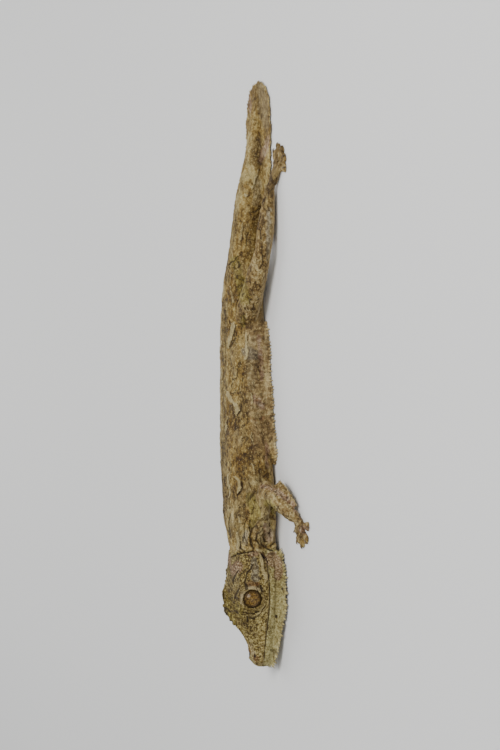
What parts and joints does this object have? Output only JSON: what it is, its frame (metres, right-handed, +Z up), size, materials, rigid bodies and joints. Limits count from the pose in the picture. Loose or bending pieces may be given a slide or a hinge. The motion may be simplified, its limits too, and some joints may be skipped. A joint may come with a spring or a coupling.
{
  "type": "henkels leaf-tailed gecko",
  "caption": "Life-size still model of a leaf-tailed gecko lying flat, with a fringed jaw and flanks, a leaf-shaped tail and padded toes.",
  "frame": {"origin": "on the floor, below the centre of the bounding box", "axes": "+Z up, the head towards -Y and the tail towards +Y, the animal's own left towards +X"},
  "size_m": [0.107, 0.2654, 0.0209],
  "materials": {
    "head_skin": "matt granular skin, olive-brown with bark-like mottling",
    "jaw_skin": "matt granular skin, pale greenish cream with fine dark dots",
    "body_skin": "matt granular skin, grey-brown bark mottling with pale patches",
    "tail_skin": "matt granular skin, grey-brown with a pale patch near the tip",
    "limb_skin": "matt granular skin, brown with pale fringes and toe pads",
    "eye": "wet gloss, brown-gold iris with a slit pupil"
  },
  "bodies": {
    "root": {"head": "head_skin", "lower_jaw": "jaw_skin", "eye_left": "eye", "eye_right": "eye", "neck": "body_skin", "chest": "body_skin", "belly": "body_skin", "hips": "body_skin", "tail_base": "tail_skin", "tail_leaf": "tail_skin", "upper_arm_left": "limb_skin", "forearm_left": "limb_skin", "hand_left": "limb_skin", "upper_arm_right": "limb_skin", "forearm_right": "limb_skin", "hand_right": "limb_skin", "thigh_left": "limb_skin", "shank_left": "limb_skin", "foot_left": "limb_skin", "thigh_right": "limb_skin", "shank_right": "limb_skin", "foot_right": "limb_skin"}
  },
  "joints": []
}
